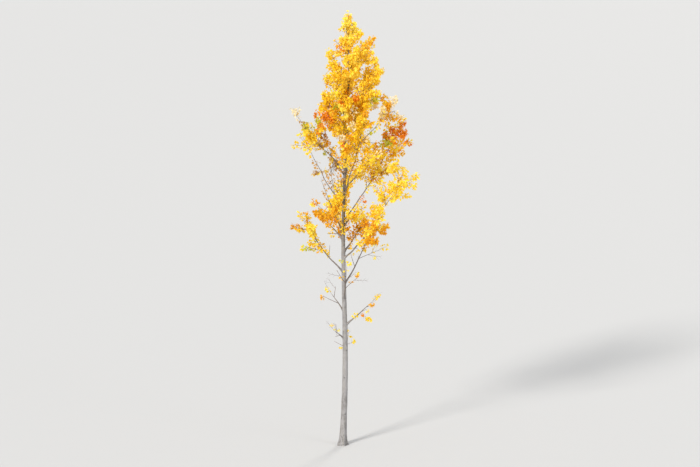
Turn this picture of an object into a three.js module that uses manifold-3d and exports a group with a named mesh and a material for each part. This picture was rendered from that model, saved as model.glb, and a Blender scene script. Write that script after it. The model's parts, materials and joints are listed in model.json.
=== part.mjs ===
// A young poplar in autumn leaf. One slender trunk runs up through a narrow crown of rising boughs.
// Each bough carries a mass of twigs and leaf sprays, and shorter masses grow straight from the upper trunk.
// Millimetres, +Z up, front towards -Y. The origin is the middle of the flat cut at ground level.

import * as THREE from "three";
import { mergeVertices } from "three/addons/utils/BufferGeometryUtils.js";
import Module from "manifold-3d";

const wasm = await Module();
wasm.setup();

// Trunk: its height, radii, lean and root flare.
const TRUNK_TOP = 10500;
const TRUNK_FOOT_RADIUS = 86;
const TRUNK_TIP_RADIUS = 12;
const TRUNK_TAPER = 0.88;
const LEAN_RIGHT = 120;
const LEAN_BACK = 70;
const BOW = 46;
const BOW_WAVES = 2.6;
const FLARE = 64;
const FLARE_HEIGHT = 210;
const FLARE_LOBES = 5;
const FLARE_LOBE_DEPTH = 0.3;
const TRUNK_SIDES = 16;
const TRUNK_STEPS = 14;
const TRUNK_STEP_CROWDING = 1.6;

// Crown: its top, and half its width at each height, which the limbs grow out to.
const CROWN_TOP = 11600;
const CROWN_OUTLINE = [
  [2600, 640],
  [4000, 900],
  [5000, 1180],
  [5800, 1500],
  [6600, 1700],
  [7600, 1680],
  [8600, 1480],
  [9100, 1060],
  [9500, 840],
  [10000, 720],
  [10500, 620],
  [11000, 420],
  [11300, 300],
  [CROWN_TOP, 160],
];
const FULLER_RIGHT = 0.2;
const MASS_REACH_RANGE = 0.15;

// Boughs, from the lowest to the highest, set round the trunk by the golden angle.
const BOUGHS = 16;
const BOUGH_LOWEST = 2500;
const BOUGH_HIGHEST = 7850;
const BOUGH_CROWDING = 0.95;
const GOLDEN_ANGLE = 137.508;
const FIRST_BOUGH_TURN = 84;
const BOUGH_PITCH_LOW = 36;
const BOUGH_PITCH_HIGH = 56;
const BOUGH_LIFT = 0.2;
const BOUGH_SHARE = 0.28;
const BOUGH_SIDES = 6;
const BOUGH_THICKNESS = 0.4;
const COLLAR = 0.55;
const COLLAR_LENGTH = 70;

// Boughs that stray from the rule: which one, its pitch, and how far it reaches for the crown's outline.
const STRAY_BOUGHS = new Map([
  [6, { pitch: 47, reach: 0.95 }],
  [7, { pitch: 43, reach: 1.16 }],
  [11, { pitch: 51, reach: 1.14 }],
  [14, { pitch: 40, reach: 1.5 }],
  [15, { pitch: 42, reach: 1.25 }],
]);

// Shoots that grow straight from the upper trunk.
const SHOOTS = 14;
const SHOOT_LOWEST = 8120;
const SHOOT_HIGHEST = 10280;
const SHOOT_PITCH_LOW = 54;
const SHOOT_PITCH_HIGH = 50;
const SHOOT_LIFT = 0.12;
const SHOOT_THICKNESS = 0.5;

// Short shoots that fill the middle of the crown, each halfway from one bough to the next.
const INNER_SHOOTS = 7;
const INNER_AFTER_BOUGH = 7;
const INNER_PITCH = 46;
const INNER_REACH = 0.55;

// The leader that ends the trunk.
const LEADER_LENGTH = 790;
const LEADER_STEPS = 3;

// Limbs and twigs.
const LIMB_STEPS = 8;
const LIMB_SHORTEST = 420;
const LIMB_TIP_RADIUS = 7;
const LIMB_TAPER = 0.85;
const STEM_SIDES = 3;
const FACET_TURN = 360 / STEM_SIDES;
const STEM_THICKENING = 1.4;
const TWIG_SPACING = 278;
const TWIG_FIRST = 60;
const TWIG_LONGEST = 560;
const TWIG_SHORTEST = 220;
const TWIG_ANGLE_LOW = 56;
const TWIG_ANGLE_HIGH = 36;
const TWIG_ANGLE_RANGE = 8;
const TWIG_TURN_RANGE = 18;
const TWIG_LENGTH_RANGE = 0.15;
const TWIG_RADII = [8, 6];
const TWIG_TRIES = [1, 0.72, 0.48];
const TWIG_CHECKS = 5;

// Sprays of leaves, each one a pointed blade. Those lower down are larger.
const SIDE_SPRAY_PLACES = [0.32, 0.56, 0.8];
const LAST_STEM_SPRAY = 0.93;
const SPRAY_LENGTH = 480;
const SPRAY_WIDTH = 350;
const SPRAY_THICKNESS = 12;
const SPRAY_WIDEST = 0.52;
const SPRAY_SIZE_LOW = 1.12;
const SPRAY_SIZE_HIGH = 0.7;
const SPRAY_SIZE_RANGE = 0.15;
const SPRAY_ANGLE_LOW = 54;
const SPRAY_ANGLE_HIGH = 34;
const SPRAY_TURN_RANGE = 18;
const SPRAY_ROLL = 180;
const SIDE_SPRAY_SUNK = 7;
const TIP_SPRAY_SUNK = 12;
const CLEAR_OF_ROOT = 0.12;
const SPRAY_CHECKS = 6;
const SIDE_CHECKS = [-1, -0.5, 0, 0.5, 1];
const SPRAY_TRIES = 5;
const BARE_SHARE_LOWEST = 0.72;
const BARE_BELOW = 4900;
const FULL_ABOVE = 6000;

// Gaps: between touching solids, round limbs and between the masses' own spaces.
const SEAT_GAP = 0.3;
const TWIG_CLEARANCE = 16;
const SPRAY_CLEARANCE = 60;
const SPACE_CLEARANCE = 30;
const SHORTEST_EDGE = 0.15;

// Windows of sky that show through the crown, along the line of sight: right, height, radius.
const SKY_WINDOWS = [
  [860, 8520, 260],
  [-600, 7780, 330],
  [-520, 6960, 370],
  [430, 6850, 290],
  [-1250, 7450, 300],
  [1350, 6250, 320],
  [-1350, 5700, 270],
];

// Chance: its seed, and a number for each kind of thing that is left to it.
const SEED = 105;
const MIX_A = 0x9e3779b1;
const MIX_B = 0x85ebca6b;
const DRAWS = { angle: 1, turn: 2, length: 3, spray: 4, roll: 5, bare: 6, face: 7, size: 8, stemSpray: 9 };

const METRE = 1000;
const MARCH_STEP = 25;
const NEARLY_UPRIGHT = 0.95;
const ON_AXIS = 1e-4;
const UP = new THREE.Vector3(0, 0, 1);
const RIGHT = new THREE.Vector3(1, 0, 0);
const radians = THREE.MathUtils.degToRad;
const lerp = THREE.MathUtils.lerp;

// A repeatable number from 0 to 1 for a few whole-number keys.
function chance(...keys) {
  let hash = SEED;
  for (const key of keys) {
    hash = Math.imul(hash ^ (key + 1), MIX_A);
    hash ^= hash >>> 15;
    hash = Math.imul(hash, MIX_B);
    hash ^= hash >>> 13;
  }
  return (hash >>> 0) / 2 ** 32;
}

// A repeatable number up to range above or below zero.
function spread(range, ...keys) {
  return range * (2 * chance(...keys) - 1);
}

// Shape functions

function trunkAxis(height) {
  const share = height / TRUNK_TOP;
  const bow = BOW * Math.sin(BOW_WAVES * Math.PI * share);
  return new THREE.Vector3(LEAN_RIGHT * share + bow, LEAN_BACK * share - bow * share, height);
}

function trunkRadius(height, angle = 0) {
  const left = Math.max(0, 1 - height / TRUNK_TOP);
  const taper = lerp(TRUNK_TIP_RADIUS, TRUNK_FOOT_RADIUS, left ** TRUNK_TAPER);
  const lobes = 1 + FLARE_LOBE_DEPTH * Math.cos(FLARE_LOBES * angle);
  return taper + FLARE * lobes * Math.exp(-height / FLARE_HEIGHT);
}

// How far the crown's outline is from the trunk's axis, at a point's height and on its side.
function crownRadius(point) {
  const above = CROWN_OUTLINE.findIndex(([level]) => level > point.z);
  if (above < 0) return 0;
  if (above === 0) return CROWN_OUTLINE[0][1];
  const [low, lowRadius] = CROWN_OUTLINE[above - 1];
  const [high, highRadius] = CROWN_OUTLINE[above];
  const axis = trunkAxis(point.z);
  const side = Math.cos(Math.atan2(point.y - axis.y, point.x - axis.x));
  return lerp(lowRadius, highRadius, (point.z - low) / (high - low)) * (1 + FULLER_RIGHT * side);
}

function distanceOut(point) {
  const axis = trunkAxis(point.z);
  return Math.hypot(point.x - axis.x, point.y - axis.y);
}

function showsSky({ x, z }) {
  return SKY_WINDOWS.some(([right, height, radius]) => Math.hypot(x - right, z - height) < radius);
}

function spraySize(height) {
  return lerp(SPRAY_SIZE_LOW, SPRAY_SIZE_HIGH, height / CROWN_TOP);
}

// Whether a spray has already dropped its leaves, as more of them have lower down.
function isBare(height, ...keys) {
  const below = Math.min(1, Math.max(0, (FULL_ABOVE - height) / (FULL_ABOVE - BARE_BELOW)));
  return chance(...keys, DRAWS.bare) < BARE_SHARE_LOWEST * below;
}

// Points along a limb, each with the way it grows there. It turns upwards by lift for each metre.
function course(start, heading, length, steps, lift) {
  const way = heading.clone().normalize();
  const point = start.clone();
  const stations = [{ point: point.clone(), way: way.clone() }];
  for (let step = 0; step < steps; step++) {
    point.addScaledVector(way, length / steps);
    way.z += (lift * length) / steps / METRE;
    way.normalize();
    stations.push({ point: point.clone(), way: way.clone() });
  }
  return stations;
}

// The length at which a limb reaches a share of the crown's outline, less the spray at its tip.
function lengthToOutline(start, heading, lift, reach) {
  const way = heading.clone().normalize();
  const point = start.clone();
  const spray = SPRAY_LENGTH * spraySize(start.z) * Math.hypot(way.x, way.y);
  let length = 0;
  while (length < LIMB_SHORTEST || distanceOut(point) + spray < crownRadius(point) * reach) {
    point.addScaledVector(way, MARCH_STEP);
    way.z += (lift * MARCH_STEP) / METRE;
    way.normalize();
    length += MARCH_STEP;
  }
  return length;
}

// The place, way and radius of a limb at a share of its length.
function along({ stations, radii }, share) {
  const place = share * (stations.length - 1);
  const index = Math.min(Math.floor(place), stations.length - 2);
  return {
    point: stations[index].point.clone().lerp(stations[index + 1].point, place - index),
    way: stations[index].way.clone().lerp(stations[index + 1].way, place - index).normalize(),
    radius: lerp(radii[index], radii[index + 1], place - index),
  };
}

const segment = new THREE.Line3();
const nearest = new THREE.Vector3();

// The least distance from a point to a limb's middle line, or to its surface when its radii are given.
function distanceToLimb({ stations, radii }, point, toSurface = false) {
  let least = Infinity;
  for (let i = 1; i < stations.length; i++) {
    segment.set(stations[i - 1].point, stations[i].point);
    const distance = segment.closestPointToPoint(point, true, nearest).distanceTo(point);
    least = Math.min(least, toSurface ? distance - radii[i - 1] : distance);
  }
  return least;
}

// Solids

const unitShapes = new Map();

// A bar of unit size along Y with its vertices merged.
function unitBar(sides, steps) {
  const key = [sides, steps].join();
  if (!unitShapes.has(key)) {
    const made = new THREE.CylinderGeometry(1, 1, 1, sides, steps);
    made.deleteAttribute("normal");
    made.deleteAttribute("uv");
    unitShapes.set(key, mergeVertices(made));
  }
  return unitShapes.get(key).clone();
}

function solidOf(geometry) {
  const merged = new wasm.Mesh({
    numProp: 3,
    vertProperties: geometry.getAttribute("position").array,
    triVerts: new Uint32Array(geometry.index.array),
  });
  return new wasm.Manifold(merged);
}

// The first of two ways square to a way, rolled round it.
function squareTo(way, roll) {
  const reference = Math.abs(way.z) > NEARLY_UPRIGHT ? RIGHT : UP;
  const level = new THREE.Vector3().crossVectors(way, reference).normalize();
  return level.applyAxisAngle(way, radians(roll));
}

// A limb's solid: rings square to its course, with a radius at each station. One facet faces the roll.
function tube(stations, radii, sides, roll = 0) {
  const steps = stations.length - 1;
  const geometry = unitBar(sides, steps);
  const position = geometry.getAttribute("position");
  let away = squareTo(stations[0].way, roll + 180);
  const frames = stations.map(({ point, way }) => {
    away = away.clone().addScaledVector(way, -away.dot(way)).normalize();
    return { point, away, beside: new THREE.Vector3().crossVectors(way, away) };
  });
  const at = new THREE.Vector3();
  for (let i = 0; i < position.count; i++) {
    at.fromBufferAttribute(position, i);
    const station = Math.round((at.y + 0.5) * steps);
    const { point, away, beside } = frames[station];
    const ring = Math.hypot(at.x, at.z);
    const scale = ring > ON_AXIS ? radii[station] / ring : 0;
    at.set(at.x * scale, 0, at.z * scale);
    const moved = point.clone().addScaledVector(beside, at.x).addScaledVector(away, at.z);
    position.setXYZ(i, moved.x, moved.y, moved.z);
  }
  return solidOf(geometry);
}

// The trunk, or with room set a slightly wider one that seats are cut with. Its rings lie level.
function trunkSolid(room = 0) {
  const geometry = unitBar(TRUNK_SIDES, TRUNK_STEPS);
  const position = geometry.getAttribute("position");
  const at = new THREE.Vector3();
  for (let i = 0; i < position.count; i++) {
    at.fromBufferAttribute(position, i);
    const height = TRUNK_TOP * (at.y + 0.5) ** TRUNK_STEP_CROWDING;
    const angle = Math.atan2(-at.z, at.x);
    const radius = Math.hypot(at.x, at.z) > ON_AXIS ? trunkRadius(height, angle) + room : 0;
    const axis = trunkAxis(height);
    position.setXYZ(i, axis.x + radius * Math.cos(angle), axis.y + radius * Math.sin(angle), height);
  }
  return solidOf(geometry);
}

// A point of a spray's blade, at a share of its length and a share of its half width to one side.
function sprayPoint({ root, way, side, size }, share, aside) {
  const narrowing = share < SPRAY_WIDEST ? share / SPRAY_WIDEST : (1 - share) / (1 - SPRAY_WIDEST);
  const out = (SPRAY_WIDTH * size * narrowing * aside) / 2;
  return root.clone().addScaledVector(way, SPRAY_LENGTH * size * share).addScaledVector(side, out);
}

// A spray of leaves as one thin pointed blade, ridged from root to tip above and from side to side below.
function spraySolid(spray) {
  const thickness = new THREE.Vector3().crossVectors(spray.side, spray.way);
  thickness.multiplyScalar(SPRAY_THICKNESS * spray.size);
  const root = spray.root.clone().addScaledVector(spray.way, -spray.sunk);
  const geometry = new THREE.TetrahedronGeometry(1);
  geometry.deleteAttribute("normal");
  geometry.deleteAttribute("uv");
  const merged = mergeVertices(geometry);
  const position = merged.getAttribute("position");
  for (let i = 0; i < position.count; i++) {
    const forward = position.getX(i) > 0;
    const above = position.getZ(i) > 0;
    let corner = sprayPoint(spray, SPRAY_WIDEST, forward ? 1 : -1).sub(thickness);
    if (above) corner = forward ? sprayPoint(spray, 1, 0) : root;
    position.setXYZ(i, corner.x, corner.y, corner.z);
  }
  return solidOf(merged);
}

// Limbs

// The height of the bough at a place in the row, which may lie between two boughs.
function boughHeight(place) {
  return lerp(BOUGH_LOWEST, BOUGH_HIGHEST, (place / (BOUGHS - 1)) ** BOUGH_CROWDING);
}

function turnAt(place) {
  return FIRST_BOUGH_TURN + GOLDEN_ANGLE * place;
}

function numbered(name, index) {
  return name + String(index + 1).padStart(2, "0");
}

// A main limb's whole course and its radius at each station, from the trunk's axis to the tip.
function limb({ index, height, turn, pitch, lift, thickness, reach }) {
  const heading = new THREE.Vector3(
    Math.cos(radians(turn)) * Math.cos(radians(pitch)),
    Math.sin(radians(turn)) * Math.cos(radians(pitch)),
    Math.sin(radians(pitch)),
  );
  const start = trunkAxis(height);
  const length = lengthToOutline(start, heading, lift, reach * (1 + spread(MASS_REACH_RANGE, index)));
  const stations = course(start, heading, length, LIMB_STEPS, lift);
  const base = trunkRadius(height) * thickness;
  const radii = stations.map((_, i) => lerp(LIMB_TIP_RADIUS, base, (1 - i / LIMB_STEPS) ** LIMB_TAPER));
  return { stations, radii, length };
}

function collared(radius, distance, outOfTrunk) {
  return radius * (1 + COLLAR * Math.exp(-Math.max(0, distance - outOfTrunk) / COLLAR_LENGTH));
}

const boughs = [];
const masses = [];

// A mass's stem: what is left of a limb from one station on, a seat gap clear of what carries it.
function addMass(name, whole, from) {
  const stations = whole.stations.slice(from).map(({ point, way }) => ({ point: point.clone(), way }));
  stations[0].point.addScaledVector(stations[0].way, SEAT_GAP);
  const length = (whole.length * (stations.length - 1)) / (whole.stations.length - 1);
  const radii = whole.radii.slice(from).map((radius) => radius * STEM_THICKENING);
  const roll = 360 * chance(masses.length, DRAWS.roll);
  masses.push({ name, stations, radii, length, roll, index: masses.length });
}

function addBough(i) {
  const height = boughHeight(i);
  const usual = { pitch: lerp(BOUGH_PITCH_LOW, BOUGH_PITCH_HIGH, i / (BOUGHS - 1)), reach: 1 };
  const growth = { index: i, height, turn: turnAt(i), ...usual, ...STRAY_BOUGHS.get(i) };
  const whole = limb({ ...growth, lift: BOUGH_LIFT, thickness: BOUGH_THICKNESS });
  const last = Math.round(LIMB_STEPS * BOUGH_SHARE);
  const stations = whole.stations.slice(0, last + 1);
  const outOfTrunk = trunkRadius(height) / Math.cos(radians(growth.pitch));
  const radii = stations.map((_, k) => collared(whole.radii[k], (whole.length * k) / LIMB_STEPS, outOfTrunk));
  radii[last] = whole.radii[last];
  boughs.push({ name: numbered("bough_", i), stations, radii });
  addMass(numbered("foliage_", i), whole, last);
}

// A mass that grows straight from the trunk.
function addShoot(name, { height, turn, pitch, reach }) {
  const growth = { index: masses.length, height, turn, pitch, reach };
  addMass(name, limb({ ...growth, lift: SHOOT_LIFT, thickness: SHOOT_THICKNESS }), 0);
}

for (let i = 0; i < BOUGHS; i++) addBough(i);

for (let i = 0; i < SHOOTS; i++) {
  const share = i / (SHOOTS - 1);
  const height = lerp(SHOOT_LOWEST, SHOOT_HIGHEST, share);
  const pitch = lerp(SHOOT_PITCH_LOW, SHOOT_PITCH_HIGH, share);
  addShoot(numbered("upper_foliage_", i), { height, turn: turnAt(BOUGHS + i), pitch, reach: 1 });
}

for (let i = 0; i < INNER_SHOOTS; i++) {
  const place = INNER_AFTER_BOUGH + i + 0.5;
  const where = { height: boughHeight(place), turn: turnAt(place), pitch: INNER_PITCH, reach: INNER_REACH };
  addShoot(numbered("inner_foliage_", i), where);
}

const leader = course(trunkAxis(TRUNK_TOP), UP, LEADER_LENGTH, LEADER_STEPS, 0);
const leaderRadii = leader.map((_, i) => lerp(TRUNK_TIP_RADIUS, LIMB_TIP_RADIUS, i / LEADER_STEPS));
addMass("top_foliage", { stations: leader, radii: leaderRadii, length: LEADER_LENGTH }, 0);

// Own spaces

function inOwnSpace(mass, point) {
  const own = distanceToLimb(mass, point) + SPACE_CLEARANCE;
  return masses.every((other) => other === mass || own < distanceToLimb(other, point, true));
}

function clearOfLimbs(point, clearance) {
  const height = Math.min(point.z, TRUNK_TOP);
  if (point.distanceTo(trunkAxis(height)) < trunkRadius(height) + clearance) return false;
  return boughs.every((bough) => distanceToLimb(bough, point, true) > clearance);
}

function inCrown(point) {
  return distanceOut(point) < crownRadius(point) * (1 + MASS_REACH_RANGE) && !showsSky(point);
}

function fits(mass, points, clearance) {
  return points.every((p) => inCrown(p) && clearOfLimbs(p, clearance) && inOwnSpace(mass, p));
}

// Twigs and sprays

// A way that leaves another by an angle, turned round it.
function branchWay(way, angle, turn) {
  const out = squareTo(way, turn);
  return way.clone().multiplyScalar(Math.cos(radians(angle))).addScaledVector(out, Math.sin(radians(angle)));
}

// A spray that grows on from a place, with its blade rolled round its own length.
function sprayAt({ point, way }, sunk, ...keys) {
  const side = squareTo(way, spread(SPRAY_ROLL, ...keys, DRAWS.face));
  const size = spraySize(point.z) * (1 + spread(SPRAY_SIZE_RANGE, ...keys, DRAWS.size));
  const spray = { root: point, way, side, size, sunk };
  const outer = [[SPRAY_WIDEST, 1], [1, 0], [SPRAY_WIDEST, -1]];
  spray.corners = [[CLEAR_OF_ROOT, 0], ...outer].map(([share, aside]) => sprayPoint(spray, share, aside));
  return spray;
}

// A spray that leaves a twig or stem sideways, its root just inside the bark.
function sideSprayAt(place, turn, ...keys) {
  const angle = lerp(SPRAY_ANGLE_LOW, SPRAY_ANGLE_HIGH, place.point.z / CROWN_TOP);
  const way = branchWay(place.way, angle, turn + spread(SPRAY_TURN_RANGE, ...keys, DRAWS.spray));
  const toBark = (place.radius * Math.cos(Math.PI / STEM_SIDES)) / Math.sin(radians(angle));
  return sprayAt({ point: place.point.clone().addScaledVector(way, toBark), way }, SIDE_SPRAY_SUNK, ...keys);
}

const ray = new THREE.Ray();

// Whether the line between two points passes through a spray's blade.
function passesThrough([from, to], { corners: [root, left, tip, right] }) {
  ray.origin.copy(from);
  ray.lookAt(to);
  return [[root, left, tip], [root, tip, right]].some((triangle) => {
    const hit = ray.intersectTriangle(...triangle, false, nearest);
    return hit && hit.distanceTo(from) < from.distanceTo(to);
  });
}

function edgesOf(points, closed) {
  const edges = points.slice(1).map((point, i) => [points[i], point]);
  return closed ? [...edges, [points.at(-1), points[0]]] : edges;
}

function blocks(one, other) {
  return edgesOf(one.corners, true).some((edge) => passesThrough(edge, other))
    || edgesOf(other.corners, true).some((edge) => passesThrough(edge, one));
}

function sprayFits(mass, spray) {
  const points = [];
  for (let i = 1; i <= SPRAY_CHECKS; i++) {
    for (const aside of SIDE_CHECKS) points.push(sprayPoint(spray, i / SPRAY_CHECKS, aside));
  }
  const outOfTwig = points.filter((point) => point.distanceTo(spray.root) > SPRAY_CLEARANCE);
  return fits(mass, outOfTwig, SPRAY_CLEARANCE);
}

// A twig from a place on the stem, or nothing where even a short one would not fit.
function twigAt(mass, place, angle, turn, length) {
  const way = branchWay(place.way, angle, turn);
  const part = TWIG_TRIES.find((tried) => {
    const [, ...checked] = course(place.point, way, length * tried, TWIG_CHECKS, 0);
    return fits(mass, checked.map(({ point }) => point), TWIG_CLEARANCE);
  });
  return part && { stations: course(place.point, way, length * part, 1, 0), radii: TWIG_RADII, roll: turn };
}

// What grows on a mass's stem, by the same rule from one end to the other: at each place
// a twig with its sprays, and beyond it a spray that sits straight on the stem.
function growthOf(mass) {
  const spacing = TWIG_SPACING * spraySize(mass.stations[0].point.z) ** 2;
  const count = Math.max(2, Math.round((mass.length - TWIG_FIRST) / spacing));
  const twigs = [];
  const planned = [(tried) => sprayAt(along(mass, 1), TIP_SPRAY_SUNK, mass.index, tried)];
  for (let k = 0; k < count; k++) {
    const keys = [mass.index, k];
    const share = (TWIG_FIRST + ((mass.length - TWIG_FIRST) * (k + 0.5)) / count) / mass.length;
    const narrowing = lerp(TWIG_ANGLE_LOW, TWIG_ANGLE_HIGH, share);
    const angle = narrowing + spread(TWIG_ANGLE_RANGE, ...keys, DRAWS.angle);
    const turn = mass.roll + FACET_TURN * k + spread(TWIG_TURN_RANGE, ...keys, DRAWS.turn);
    const fuller = 1 + spread(TWIG_LENGTH_RANGE, ...keys, DRAWS.length);
    const length = lerp(TWIG_LONGEST, TWIG_SHORTEST, share) * fuller;
    const twig = twigAt(mass, along(mass, share), angle, turn, length);
    if (twig) {
      twigs.push(twig);
      planned.push((tried) => sprayAt(along(twig, 1), TIP_SPRAY_SUNK, ...keys, 0, tried));
      SIDE_SPRAY_PLACES.forEach((part, j) => {
        const turned = (tried) => twig.roll + FACET_TURN * (j + tried);
        planned.push((tried) => sideSprayAt(along(twig, part), turned(tried), ...keys, j + 1, tried));
      });
    }
    const beyond = along(mass, Math.min(LAST_STEM_SPRAY, share + spacing / 2 / mass.length));
    const opposite = (tried) => mass.roll + FACET_TURN * (k + 2 + tried);
    planned.push((tried) => sideSprayAt(beyond, opposite(tried), ...keys, DRAWS.stemSpray, tried));
  }
  return { twigs, sprays: chosenSprays(mass, twigs, planned) };
}

// Each planned spray in the first of its tried turns that fits and crosses nothing of its own mass.
function chosenSprays(mass, twigs, planned) {
  const wood = [mass, ...twigs].flatMap(({ stations }) => edgesOf(stations.map(({ point }) => point)));
  const sprays = [];
  planned.forEach((spray, i) => {
    if (i > 0 && isBare(spray(0).root.z, mass.index, i)) return;
    for (let tried = 0; tried < SPRAY_TRIES; tried++) {
      const candidate = spray(tried);
      const crosses = sprays.some((other) => blocks(candidate, other))
        || wood.some((line) => passesThrough(line, candidate));
      if (!crosses && (i === 0 || sprayFits(mass, candidate))) {
        sprays.push(candidate);
        return;
      }
    }
  });
  return sprays;
}

// The largest body of a solid, with edges too short to keep taken out and any loose scrap dropped.
function cleaned(solid) {
  const pieces = solid.simplify(SHORTEST_EDGE).decompose();
  return pieces.reduce((best, piece) => (piece.volume() > best.volume() ? piece : best));
}

function massSolid(mass, trunkRoom) {
  const { twigs, sprays } = growthOf(mass);
  const wood = [mass, ...twigs].map(({ stations, radii, roll }) => tube(stations, radii, STEM_SIDES, roll));
  const parts = [...wood, ...sprays.map(spraySolid)];
  return cleaned(wasm.Manifold.union(parts).subtract(trunkRoom));
}

// Scene

const bark = new THREE.MeshStandardMaterial({ color: 0xb9b3a6, roughness: 0.85, metalness: 0 });
const boughBark = new THREE.MeshStandardMaterial({ color: 0x9d9484, roughness: 0.85, metalness: 0 });
const goldLeaf = new THREE.MeshStandardMaterial({ color: 0xe3a51c, roughness: 0.6, metalness: 0 });

// Each mesh stands at its own root, so its vertices are measured from there.
function meshOf(name, solid, root, material) {
  const { vertProperties, triVerts } = solid.getMesh();
  const geometry = new THREE.BufferGeometry();
  geometry.setAttribute("position", new THREE.BufferAttribute(new Float32Array(vertProperties), 3));
  geometry.setIndex(new THREE.BufferAttribute(new Uint32Array(triVerts), 1));
  geometry.translate(-root.x, -root.y, -root.z);
  geometry.computeVertexNormals();
  const mesh = new THREE.Mesh(geometry, material);
  mesh.name = name;
  mesh.position.copy(root);
  return mesh;
}

const tree = new THREE.Group();
const trunkRoom = trunkSolid(SEAT_GAP / Math.cos(Math.PI / TRUNK_SIDES));

tree.add(meshOf("trunk", trunkSolid(), new THREE.Vector3(), bark));
for (const { name, stations, radii } of boughs) {
  const solid = cleaned(tube(stations, radii, BOUGH_SIDES).subtract(trunkRoom));
  tree.add(meshOf(name, solid, stations[0].point, boughBark));
}
for (const mass of masses) {
  tree.add(meshOf(mass.name, massSolid(mass, trunkRoom), mass.stations[0].point, goldLeaf));
}

export default tree;
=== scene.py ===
import json
import math
from collections import namedtuple
from itertools import islice

import bpy
import numpy as np
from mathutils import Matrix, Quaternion, Vector, noise
from mathutils.geometry import intersect_ray_tri

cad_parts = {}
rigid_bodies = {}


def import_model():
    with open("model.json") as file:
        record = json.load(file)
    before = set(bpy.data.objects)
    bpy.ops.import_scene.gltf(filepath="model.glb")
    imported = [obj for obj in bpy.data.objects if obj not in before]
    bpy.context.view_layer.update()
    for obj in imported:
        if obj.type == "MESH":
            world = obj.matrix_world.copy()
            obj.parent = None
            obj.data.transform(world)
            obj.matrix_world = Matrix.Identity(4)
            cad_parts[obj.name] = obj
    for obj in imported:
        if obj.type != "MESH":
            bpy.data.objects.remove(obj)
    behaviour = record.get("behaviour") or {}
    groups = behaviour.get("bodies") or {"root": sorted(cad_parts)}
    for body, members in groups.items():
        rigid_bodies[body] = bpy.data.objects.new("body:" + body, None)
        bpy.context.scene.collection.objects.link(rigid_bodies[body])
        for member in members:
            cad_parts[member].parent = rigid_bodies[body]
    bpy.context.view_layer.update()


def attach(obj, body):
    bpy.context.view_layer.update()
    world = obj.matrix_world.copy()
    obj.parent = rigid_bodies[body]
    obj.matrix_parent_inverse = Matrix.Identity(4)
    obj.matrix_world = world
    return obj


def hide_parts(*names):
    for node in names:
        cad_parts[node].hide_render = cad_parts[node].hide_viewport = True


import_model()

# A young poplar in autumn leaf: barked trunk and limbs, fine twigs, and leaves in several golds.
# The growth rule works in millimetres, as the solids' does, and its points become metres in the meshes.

# Trunk: its height, radii, lean and root flare.
TRUNK_TOP = 10500
TRUNK_FOOT_RADIUS = 86
TRUNK_TIP_RADIUS = 12
TRUNK_TAPER = 0.88
LEAN_RIGHT = 120
LEAN_BACK = 70
BOW = 46
BOW_WAVES = 2.6
FLARE = 64
FLARE_HEIGHT = 210
FLARE_LOBES = 5
FLARE_LOBE_DEPTH = 0.3

# Crown: its top, and half its width at each height.
CROWN_TOP = 11600
CROWN_OUTLINE = (
    (2600, 640),
    (4000, 900),
    (5000, 1180),
    (5800, 1500),
    (6600, 1700),
    (7600, 1680),
    (8600, 1480),
    (9100, 1060),
    (9500, 840),
    (10000, 720),
    (10500, 620),
    (11000, 420),
    (11300, 300),
    (CROWN_TOP, 160),
)
FULLER_RIGHT = 0.2
MASS_REACH_RANGE = 0.15

# Boughs, set round the trunk by the golden angle.
BOUGHS = 16
BOUGH_HEIGHTS = (2500, 7850)
BOUGH_CROWDING = 0.95
GOLDEN_ANGLE = 137.508
FIRST_BOUGH_TURN = 84
BOUGH_PITCHES = (36, 56)
BOUGH_LIFT = 0.2
BOUGH_SHARE = 0.28
BOUGH_THICKNESS = 0.4

# Boughs that stray from the rule: which one, its pitch, and how far it reaches for the crown's outline.
STRAY_BOUGHS = {6: (47, 0.95), 7: (43, 1.16), 11: (51, 1.14), 14: (40, 1.5), 15: (42, 1.25)}

# Shoots straight from the upper trunk, short ones inside the crown, and the leader.
SHOOTS = 14
SHOOT_HEIGHTS = (8120, 10280)
SHOOT_PITCHES = (54, 50)
SHOOT_LIFT = 0.12
SHOOT_THICKNESS = 0.5
INNER_SHOOTS = 7
INNER_AFTER_BOUGH = 7
INNER_PITCH = 46
INNER_REACH = 0.55
LEADER_LENGTH = 790
LEADER_STEPS = 3

# Limbs and twigs.
LIMB_STEPS = 8
LIMB_SHORTEST = 420
LIMB_TIP_RADIUS = 7
LIMB_TAPER = 0.85
FACET_TURN = 120
STEM_THICKENING = 1.4
TWIG_SPACING = 278
TWIG_FIRST = 60
TWIG_LENGTHS = (560, 220)
TWIG_ANGLES = (56, 36)
TWIG_ANGLE_RANGE = 8
TWIG_TURN_RANGE = 18
TWIG_LENGTH_RANGE = 0.15
TWIG_RADII = (8, 6)
TWIG_TRIES = (1, 0.72, 0.48)
TWIG_CHECKS = 5

# Sprays: the reach that each fine branchlet and its leaves fill.
SIDE_SPRAY_PLACES = (0.32, 0.56, 0.8)
LAST_STEM_SPRAY = 0.93
SPRAY_LENGTH = 480
SPRAY_WIDTH = 350
SPRAY_WIDEST = 0.52
SPRAY_SIZES = (1.12, 0.7)
SPRAY_SIZE_RANGE = 0.15
SPRAY_ANGLES = (54, 34)
SPRAY_TURN_RANGE = 18
SPRAY_ROLL = 180
CLEAR_OF_ROOT = 0.12
SPRAY_CHECKS = 6
SIDE_CHECKS = (-1, -0.5, 0, 0.5, 1)
SPRAY_TRIES = 5
BARE_SHARE_LOWEST = 0.72
BARE_BELOW = 4900
FULL_ABOVE = 6000

# Gaps round limbs and between the masses' own spaces.
TWIG_CLEARANCE = 16
SPRAY_CLEARANCE = 60
SPACE_CLEARANCE = 30

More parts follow.
